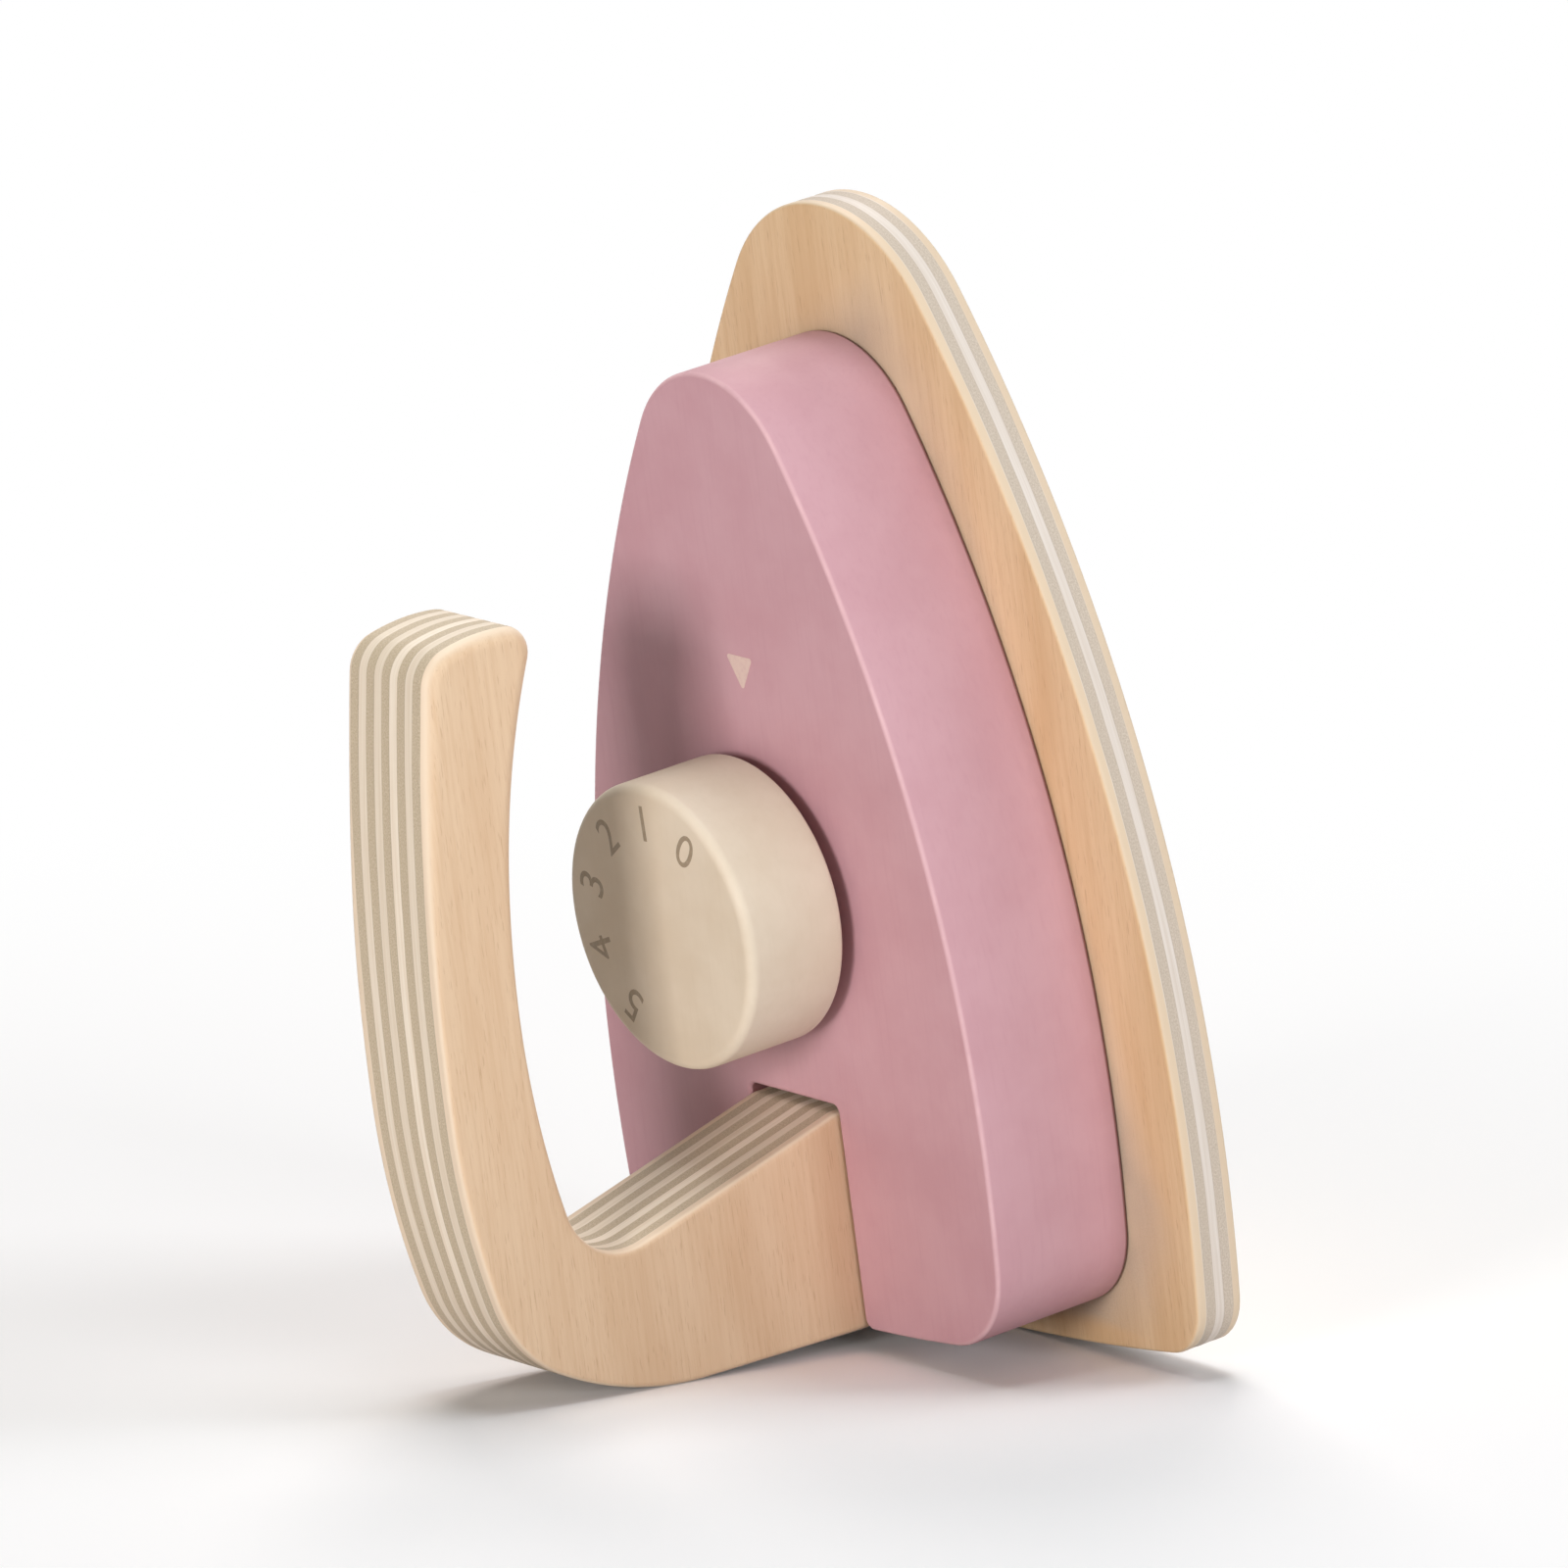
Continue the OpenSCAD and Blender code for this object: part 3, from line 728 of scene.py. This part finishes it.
def handleOutline():
    # foot, crook, palm side, free end, back and the sweep underneath, in the plane of u and w; every arc is
    # tangent to the next, so its centre lies at the sum or difference of the two radii from its neighbour's
    heel, corner, turn = block["inset"], handle["footCorner"], handle["footBreak"]
    backR, lowBackR, palmR = handle["backRadius"], handle["lowBackRadius"], handle["palmRadius"]
    underR, bendR, crookR = handle["underRadius"], handle["bendRadius"], handle["crookRadius"]
    bow, inR, outR = handle["endBow"], handle["endInRadius"], handle["endOutRadius"]
    footHigh = np.array([heel + block["slotLength"] - handle["footEndGap"], blockTop])
    under = np.array([heel + handle["sweepRise"] + underR, handle["underStart"]])
    back = np.array([handle["backMiddle"], handle["gripHeight"] - backR])
    lowBack = np.array([handle["backMiddle"], handle["gripHeight"] - lowBackR])
    bend = meet(under, underR - bendR, lowBack, lowBackR - bendR)
    palm = np.array([handle["palmMiddle"], handle["gripHeight"] - handle["gripThickness"] - palmR])

    # the crook's centre lies beside the foot's falling top, where the crook also touches the palm's arc
    fall = np.radians(handle["footFall"])
    outward, upward = np.array([np.cos(fall), np.sin(fall)]), np.array([-np.sin(fall), np.cos(fall)])
    start = footHigh + crookR * outward
    gap = start - palm
    run = -gap @ upward + np.sqrt((gap @ upward) ** 2 + (palmR - crookR) ** 2 - gap @ gap)
    crook = start + run * upward

    # the free end bows between the back and the palm side, with a small arc at each side
    endBack = back[1] + np.sqrt(backR ** 2 - (handle["gripEnd"] - back[0]) ** 2)
    endPalm = palm[1] + np.sqrt(palmR ** 2 - (handle["gripEnd"] - palm[0]) ** 2)
    end = np.array([handle["gripEnd"] - bow, (endBack + endPalm) / 2])
    endIn = meet(palm, palmR + inR, end, bow - inR)
    endOut = meet(back, backR - outR, end, bow - outR)

    # the sweep leaves its arc straight for the block's lower edge
    footWay = np.array([heel, blockTop]) - under
    sweepStop = 360 + heading(footWay) - float(np.degrees(np.arccos(underR / np.hypot(*footWay))))
    footTurn = (footHigh[0] - turn, footHigh[1] - turn * np.tan(fall / 2))
    heelTurn = (heel + turn, blockTop - turn * np.tan(np.radians(180 - sweepStop) / 2))
    return closeRuns([
        arcRun((heel + corner, soleTop + corner), corner, 180, 270),
        arcRun((footHigh[0] - corner, soleTop + corner), corner, 270, 360),
        arcRun(footTurn, turn, 0, handle["footFall"]),
        arcRun(crook, crookR, 180 + handle["footFall"], heading(crook - palm)),
        arcRun(palm, palmR, heading(crook - palm), heading(endIn - palm)),
        arcRun(endIn, inR, heading(palm - endIn), heading(endIn - end)),
        arcRun(end, bow, heading(endIn - end), heading(endOut - end)),
        arcRun(endOut, outR, heading(endOut - end), heading(endOut - back)),
        arcRun(back, backR, heading(endOut - back), 90),
        arcRun(lowBack, lowBackR, 90, heading(bend - lowBack)),
        arcRun(bend, bendR, heading(bend - lowBack), heading(bend - under)),
        arcRun(under, underR, heading(bend - under), sweepStop),
        arcRun(heelTurn, turn, sweepStop, 180),
    ])


def handleProfiles(points):
    # the edge's radius grows with u by a smooth step, from crisp at the foot to soft at the grip's free end
    crisp, soft = (edgeProfile(handle["thickness"], edge, edge, handle["plies"], handle["crossSink"])
                   for edge in (handle["edge"], handle["softEdge"]))
    share = np.clip((points[:, 0] - handle["softFrom"]) / (handle["softTo"] - handle["softFrom"]), 0, 1)
    share = (share * share * (3 - 2 * share))[:, None, None]
    return crisp * (1 - share) + soft * share


outlineOfHandle = handleOutline()
handlePoints, handleFaces, handleUv, handleMarks = slab(outlineOfHandle, handleProfiles(outlineOfHandle[0]))
handlePlace = stand(handlePoints[:, 0], handle["thickness"] / 2 - handlePoints[:, 2], handlePoints[:, 1])
bentHandle = makePiece("bentHandle", handlePlace, handleFaces, handleUv, handleMarks)
cutAway(bentHandle, dowelHoles(footDowels, blockLow, soleTop + dowel["inFoot"]))
dress(bentHandle, "iron", handlePlywood, "handle_plywood", "handle")
print("handle made")

# Dial knob
# the worn colour serves worn places and the painted highlight along the rims; the seam colour is painted
# shade in any joint
creamPaint = paintCoat("creamPaint", {
    "base": tint(225, 211, 190), "shade": tint(217, 201, 178), "fibre": tint(205, 187, 161),
    "wornAndHighlight": tint(236, 222, 202), "seam": tint(150, 130, 112),
    "fibreShow": 0.12, "wear": 0.2, "thinRimAndHighlight": 0.2, "roughness": (0.5, 0.62),
})
feltLow = blockTop + knob["runGap"]
knobBack = feltLow + knob["feltThickness"]


def atKnob(points, low):
    # a turned shape set on the dial's axis, its own zero height at the given height above the working face
    return stand(knobCentre + points[:, 0], points[:, 1], low + points[:, 2])


def knobProfile():
    # from the floor of the axle's seat down its bore, out along the back, round the back edge, up the side,
    # round the front edge and in over the face; rim is the sine of twice the turn on both rounded edges
    quarter = np.radians(np.linspace(0, 90, fineness["knobEdge"]))
    radius, thick, backR, frontR = knob["radius"], knob["thickness"], knob["backEdge"], knob["frontEdge"]
    seat = [(0, knob["axleSeat"]), (knob["axleRadius"], knob["axleSeat"]), (knob["axleRadius"], 0)]
    back = [(radius - backR - knob["backLip"], 0)]
    less, more = 1 - np.cos(quarter), 1 - np.sin(quarter)
    backRound = np.column_stack((radius - backR * more, backR * less))
    frontRound = np.column_stack((radius - frontR * less, thick - frontR * more))
    face = [(share * (radius - frontR), thick) for share in knob["faceRings"]]
    profile = np.vstack((seat, back, backRound, frontRound, face))
    rim = np.sin(2 * quarter)
    return profile, np.concatenate((np.zeros(len(seat + back)), rim, rim, np.zeros(len(face))))


knobShape, knobRims = knobProfile()
knobPoints, knobFaces = turned(knobShape[:, 0], knobShape[:, 1], fineness["knob"])
knobMarks = {"rim": np.concatenate((np.tile(knobRims[1:-1], fineness["knob"]), [0, 0]))}
dialKnob = makePiece("dialKnob", atKnob(knobPoints, knobBack), knobFaces, marks=knobMarks)
dress(dialKnob, "dial", creamPaint, "cream_paint", "knob")

# waves: how many go round, and the angle that each starts from
felt = {"soft": 0.35, "wander": 0.12, "waves": ((7, 0), (17, 1), (31, 2)), "sharp": 60.0}


def ringProfile(inner, outer, thickness, rounding):
    # a closed section with round corners: up the outside, in over the top, down the inside and out again
    quarter = np.radians(np.linspace(0, 90, fineness["ringCorner"]))
    radii = np.array([outer - rounding, outer - rounding, inner + rounding, inner + rounding])[:, None]
    heights = np.array([rounding, thickness - rounding, thickness - rounding, rounding])[:, None]
    angles = np.radians([-90, 0, 90, 180])[:, None] + quarter[None, :]
    return (radii + rounding * np.cos(angles)).ravel(), (heights + rounding * np.sin(angles)).ravel()


def feltShape():
    # a ring whose outer edge wanders inwards by the mean of a few sines of the angle
    radii, heights = ringProfile(knob["axleRadius"], knob["feltRadius"], knob["feltThickness"], felt["soft"])
    angle = np.linspace(0, 2 * np.pi, fineness["ring"], endpoint=False)[:, None]
    sines = sum(np.sin(count * angle + begin) for count, begin in felt["waves"])
    ragged = felt["wander"] * sines / len(felt["waves"]) - felt["wander"]
    outside = radii > (knob["axleRadius"] + knob["feltRadius"]) / 2
    return turned(radii[None, :] + np.where(outside, ragged, 0), heights, fineness["ring"], ring=True)


feltPoints, feltFaces = feltShape()
feltRing = makePiece("feltRing", atKnob(feltPoints, feltLow), feltFaces, sharp=felt["sharp"])
dress(feltRing, "dial", feltFinish(feltLook), "felt", "felt_washer")
print("dial knob made")

# Washer and screw under the block, and the dowels
bareBeech, zincPlate = beechFinish(beechLook), zincFinish(zincLook)
screw = {
    "washerRadius": 8.0, "washerThickness": 1.0, "washerBore": 2.0, "washerEdge": 0.15, "headRadius": 3.5,
    "headHeight": 2.4, "domeShare": 0.75, "length": 16.0, "shankRadius": 1.75, "coreRadius": 1.2,
    "pitch": 1.35, "crest": 3.2, "point": 2.6, "plain": 2.0, "recess": 4.0, "recessWidth": 0.9,
    "recessDepth": 1.4,
}
washerLow = soleTop + block["pocketDepth"] - knob["runGap"] - screw["washerThickness"]
washerProfile = ringProfile(
    screw["washerBore"], screw["washerRadius"], screw["washerThickness"], screw["washerEdge"])
washerPoints, washerFaces = turned(*washerProfile, fineness["ring"], ring=True)
steelWasher = makePiece("steelWasher", atKnob(washerPoints, washerLow), washerFaces)
dress(steelWasher, "dial", zincPlate, "zinc_steel", "retaining_washer")


def screwShape():
    # a domed head, then a shank whose radius swings between core and crest as the height climbs one pitch a
    # turn, inside a cone that ends in the point
    count = fineness["screw"]
    angle = np.linspace(0, 2 * np.pi, count, endpoint=False)[:, None]
    dome = np.radians(np.linspace(0, 90, fineness["screwHead"]))
    neck = screw["headHeight"]
    headRadii = np.append(screw["headRadius"] * np.sin(dome), screw["headRadius"])
    headHeights = np.append(screw["domeShare"] * neck * (1 - np.cos(dome)), neck)
    shank = np.linspace(neck, neck + screw["length"], fineness["screwRows"])
    envelope = np.minimum(1, (shank[-1] - shank) / screw["point"])
    climb = shank[None, :] / screw["pitch"] - angle / (2 * np.pi)
    swing = np.clip(1 - screw["crest"] * np.abs(climb - np.round(climb)), 0, 1)
    started = np.clip((shank - neck - screw["plain"]) / screw["pitch"], 0, 1)
    depth = (screw["shankRadius"] - screw["coreRadius"]) * started * (1 - swing)
    radii = np.hstack((np.tile(headRadii, (count, 1)), (screw["shankRadius"] - depth) * envelope))
    return turned(radii, np.tile(np.append(headHeights, shank), (count, 1)), count)


def crossCutters(low):
    # two upright bars, a quarter turn apart, that cut the driver's recess into the head; a bar's corners go
    # round its lower end and then round its upper end
    square = np.array([(-1, -1), (1, -1), (1, 1), (-1, 1)]) / 2
    faces = np.array([(0, 3, 2, 1), (4, 5, 6, 7), (0, 1, 5, 4), (1, 2, 6, 5), (2, 3, 7, 6), (3, 0, 4, 7)])
    heights = np.repeat((low - overrun, low + screw["recessDepth"]), 4)
    sizes = (screw["recess"], screw["recessWidth"]), (screw["recessWidth"], screw["recess"])
    bars = [np.column_stack((np.tile(square * size, (2, 1)), heights)) for size in sizes]
    return [makePiece("bar", atKnob(points, 0.0), [faces]) for points in bars]


screwLow = washerLow - screw["headHeight"]
screwPoints, screwFaces = screwShape()
woodScrew = makePiece("woodScrew", atKnob(screwPoints, screwLow), screwFaces)
cutAway(woodScrew, crossCutters(screwLow))
dress(woodScrew, "dial", zincPlate, "zinc_steel", "retaining_screw")

axle = frame["nodes"]["knob_axle"]
axle.data.materials.clear()
axle.data.materials.append(bareBeech)


def dowelShape(length):
    # a rod with chamfered ends and straight flutes: the radius dips by the square of a cosine of the angle
    angle = np.linspace(0, 2 * np.pi, dowel["flutes"] * fineness["ofFlute"], endpoint=False)[:, None]
    radius, chamfer, end = dowel["radius"], dowel["chamfer"], dowel["fluteEndShare"]
    heights = np.array([0, 0, chamfer, 2 * chamfer, length - 2 * chamfer, length - chamfer, length, length])
    plain = np.array([0, radius - chamfer, radius, radius, radius, radius, radius - chamfer, 0])
    fluted = np.array([0, 0, end, 1, 1, end, 0, 0])
    dip = np.clip(np.cos(dowel["flutes"] * angle), 0, 1) ** 2 * dowel["fluteDepth"] * fluted
    return turned(plain - dip, heights, len(angle))


def dowelGroup(name, places, length, node):
    # copies of one dowel stacked into one mesh, each with its face rows moved past the last copy's points
    points, faces = dowelShape(length)
    copies = [stand(u + points[:, 0], y + points[:, 1], dowelLow + points[:, 2]) for u, y in places]
    rows = [np.concatenate([part + count * len(points) for count in range(len(places))]) for part in faces]
    dress(makePiece(name, np.concatenate(copies), rows), "iron", bareBeech, "beech", node)


dowelGroup("footDowels", footDowels, dowel["inSole"] + dowel["inFoot"], "handle_dowels")
dowelGroup("blockDowels", blockDowels, dowel["inSole"] + dowel["inBlock"], "sole_dowels")
print("washer, screw and dowels made")

# Printed marks: plain numbers round the dial and a small arrow on the block
numbers = {
    "count": 6, "first": -34.0, "step": 36.0, "radius": 13.3, "height": 6.7, "ink": 0.02, "weld": 0.001,
}
arrow = {"tip": 88.3, "base": 92.8, "halfWidth": 2.65, "across": -0.8, "corner": 0.35, "ink": 0.04}


def printedNumbers():
    # each digit stands with its foot towards the dial's centre: outward is up, and right is a quarter turn on
    printed = bmesh.new()
    front = knobBack + knob["thickness"]
    for count in range(numbers["count"]):
        letter = bpy.data.curves.new("digit", "FONT")
        letter.body, letter.size, letter.extrude = str(count), numbers["height"], numbers["ink"]
        letter.align_x, letter.align_y = "CENTER", "CENTER"
        holder = linked("digit", letter)
        graph = bpy.context.evaluated_depsgraph_get()
        mesh = bpy.data.meshes.new_from_object(holder.evaluated_get(graph))
        flat = np.array([vertex.co for vertex in mesh.vertices])
        angle = np.radians(numbers["first"] + count * numbers["step"])
        up, right = np.array([np.cos(angle), np.sin(angle)]), np.array([np.sin(angle), -np.cos(angle)])
        place = numbers["radius"] * up + flat[:, :1] * right + flat[:, 1:2] * up
        place = stand(knobCentre + place[:, 0], place[:, 1], front + flat[:, 2])
        mesh.vertices.foreach_set("co", place.ravel())
        printed.from_mesh(mesh)
        bpy.data.objects.remove(holder)
        bpy.data.meshes.remove(mesh)
    bmesh.ops.remove_doubles(printed, verts=printed.verts, dist=numbers["weld"] * mm)
    bmesh.ops.recalc_face_normals(printed, faces=printed.faces)
    mesh = bpy.data.meshes.new("dialNumbers")
    printed.to_mesh(mesh)
    printed.free()
    return linked("dialNumbers", mesh)


def printedArrow():
    # a triangle with an arc at each corner, from the way of one side's normal to that of the next
    tip, base, halfWidth = arrow["tip"], arrow["base"], arrow["halfWidth"]
    corners = np.array([(tip, 0.0), (base, -halfWidth), (base, halfWidth)])
    ways = np.roll(corners, -1, axis=0) - corners
    ways /= np.hypot(*ways.T)[:, None]
    outward = np.column_stack((ways[:, 1], -ways[:, 0]))
    runs = []
    for last, here in zip((2, 0, 1), (0, 1, 2)):
        start, end = heading(outward[last]), heading(outward[here])
        end += 360 * (end < start)
        half = np.radians(end - start) / 2
        inward = -(outward[last] + outward[here])
        centre = corners[here] + inward / np.hypot(*inward) * arrow["corner"] / np.cos(half)
        runs.append(arcRun(centre + [0, arrow["across"]], arrow["corner"], start, end))
    film = np.array([[0, -arrow["ink"], 0, 0], [0, arrow["ink"], 0, 0]])
    points, faces = slab(closeRuns(runs), film)[:2]
    return makePiece("blockArrow", stand(points[:, 0], points[:, 1], blockTop + points[:, 2]), faces)


dress(printedNumbers(), "dial", inkFinish("dialInk", tint(152, 134, 110), tint(180, 162, 136)), None)
dress(printedArrow(), "iron", inkFinish("arrowInk", tint(224, 196, 184), tint(212, 176, 172)), None)
print("marks printed")

# Floor: a matt pale disc that keeps the shadow and fades to the white background away from the iron; it sends
# less light back close to the iron. Distances in metres from the middle
stage = {
    "radius": 6.0, "floor": (0.97, 0.97, 0.97, 1), "bounce": (0.75, 0.74, 0.73, 1),
    "bounceNear": (0.42, 0.38, 0.37, 1), "nearStep": (0.045, 0.085), "fadeStep": (0.09, 0.36),
}
white = (1, 1, 1, 1)


def seenRays(tree):
    # 1 for what the camera sees, also mirrored or through something clear, and 0 for light that is on its way
    rays = put(tree, "LightPath").outputs
    passed = maths(tree, "MAXIMUM", rays["Is Glossy Ray"], rays["Is Transmission Ray"])
    return maths(tree, "MAXIMUM", rays["Is Camera Ray"], passed)


def paleFloor():
    # seen from below it is clear, so that the underside can be looked at
    bpy.ops.mesh.primitive_circle_add(vertices=fineness["floor"], radius=stage["radius"], fill_type="NGON")
    floor = bpy.context.object
    floor.name = "paleFloor"
    material = bpy.data.materials.new("paleFloor")
    material.use_nodes = True
    tree = material.node_tree
    tree.nodes.clear()
    place = put(tree, "TexCoord").outputs["Object"]
    away = put(tree, "VectorMath", {0: place}, operation="LENGTH").outputs["Value"]
    seen = seenRays(tree)
    bounce = blendOf(tree, ease(tree, away, *stage["nearStep"]), stage["bounceNear"], stage["bounce"])
    matt = put(tree, "BsdfDiffuse", {"Color": blendOf(tree, seen, bounce, stage["floor"])}).outputs[0]
    bright = put(tree, "Emission", {"Color": white, "Strength": 1.0}).outputs[0]
    fade = times(tree, ease(tree, away, *stage["fadeStep"]), seen)
    lit = put(tree, "MixShader", {0: fade, 1: matt, 2: bright}).outputs[0]
    underneath = put(tree, "NewGeometry").outputs["Backfacing"]
    below = times(tree, underneath, put(tree, "LightPath").outputs["Is Camera Ray"])
    clear = put(tree, "BsdfTransparent").outputs[0]
    shown = put(tree, "MixShader", {0: below, 1: lit, 2: clear}).outputs[0]
    put(tree, "OutputMaterial", {"Surface": shown})
    floor.data.materials.append(material)


def whiteWorld():
    # white to the eye and to reflections; the light on the iron comes from the lamps and the floor
    world = bpy.data.worlds.new("whiteRoom")
    bpy.context.scene.world = world
    world.use_nodes = True
    tree = world.node_tree
    feed(tree, tree.nodes["Background"], {"Color": white, "Strength": seenRays(tree)})


lamps = {
    "frontSoftbox": {"place": (-1.575, -0.605, 0.277), "size": 0.45, "watts": 16.8, "tint": (1, 0.965, 0.95)},
    "rightSoftbox": {"place": (0.0, -1.68, 0.307), "size": 0.8, "watts": 13.4, "tint": (0.93, 0.965, 1)},
    "topSoftbox": {"place": (0.0, 0.0, 1.77), "size": 0.8, "watts": 13.9, "tint": (0.92, 0.98, 1)},
    "rearSoftbox": {"place": (0.546, 0.946, 1.372), "size": 0.8, "watts": 12.0, "tint": (1, 0.9, 0.85)},
    "sideSoftbox": {"place": (1.206, -0.696, 1.045), "size": 0.8, "watts": 8.0, "tint": (0.95, 0.96, 1)},
}


lampAim = Vector((0.0, 0.0, 0.07))  # the middle of the iron, in metres


def softbox(name, look):
    light = bpy.data.lights.new(name, "AREA")
    light.shape, light.size, light.energy, light.color = "SQUARE", look["size"], look["watts"], look["tint"]
    lamp = linked(name, light)
    lamp.location = look["place"]
    lamp.rotation_euler = (lampAim - lamp.location).to_track_quat("-Z", "Y").to_euler()


paleFloor()
whiteWorld()
for lampName, lampLook in lamps.items():
    softbox(lampName, lampLook)

# Camera: the photograph's own viewpoint, with a longer lens turned on the iron
camera = {
    "aim": (13.73, 0.0, 71.5), "distance": 2165.5, "azimuth": -127.32, "elevation": 11.55, "roll": 0.55,
    "lens": 400.0, "sensor": 36.0, "farthest": 20000.0,
}


def placeCamera():
    # stands off from the aim along azimuth and elevation, looks back at it and rolls about the line of sight
    turn, rise = np.radians(camera["azimuth"]), np.radians(camera["elevation"])
    back = Vector((np.cos(turn) * np.cos(rise), np.sin(turn) * np.cos(rise), np.sin(rise)))
    data = bpy.data.cameras.new("photoView")
    data.lens, data.sensor_width, data.clip_end = camera["lens"], camera["sensor"], camera["farthest"] * mm
    eye = linked("photoView", data)
    eye.location = (Vector(camera["aim"]) + back * camera["distance"]) * mm
    level = (-back).to_track_quat("-Z", "Y").to_matrix()
    roll = Matrix.Rotation(np.radians(-camera["roll"]), 3, "Z")
    eye.rotation_euler = (level @ roll).to_euler()
    bpy.context.scene.camera = eye


placeCamera()
bpy.context.scene.view_settings.view_transform = "Standard"
print("stage, lamps and camera set")
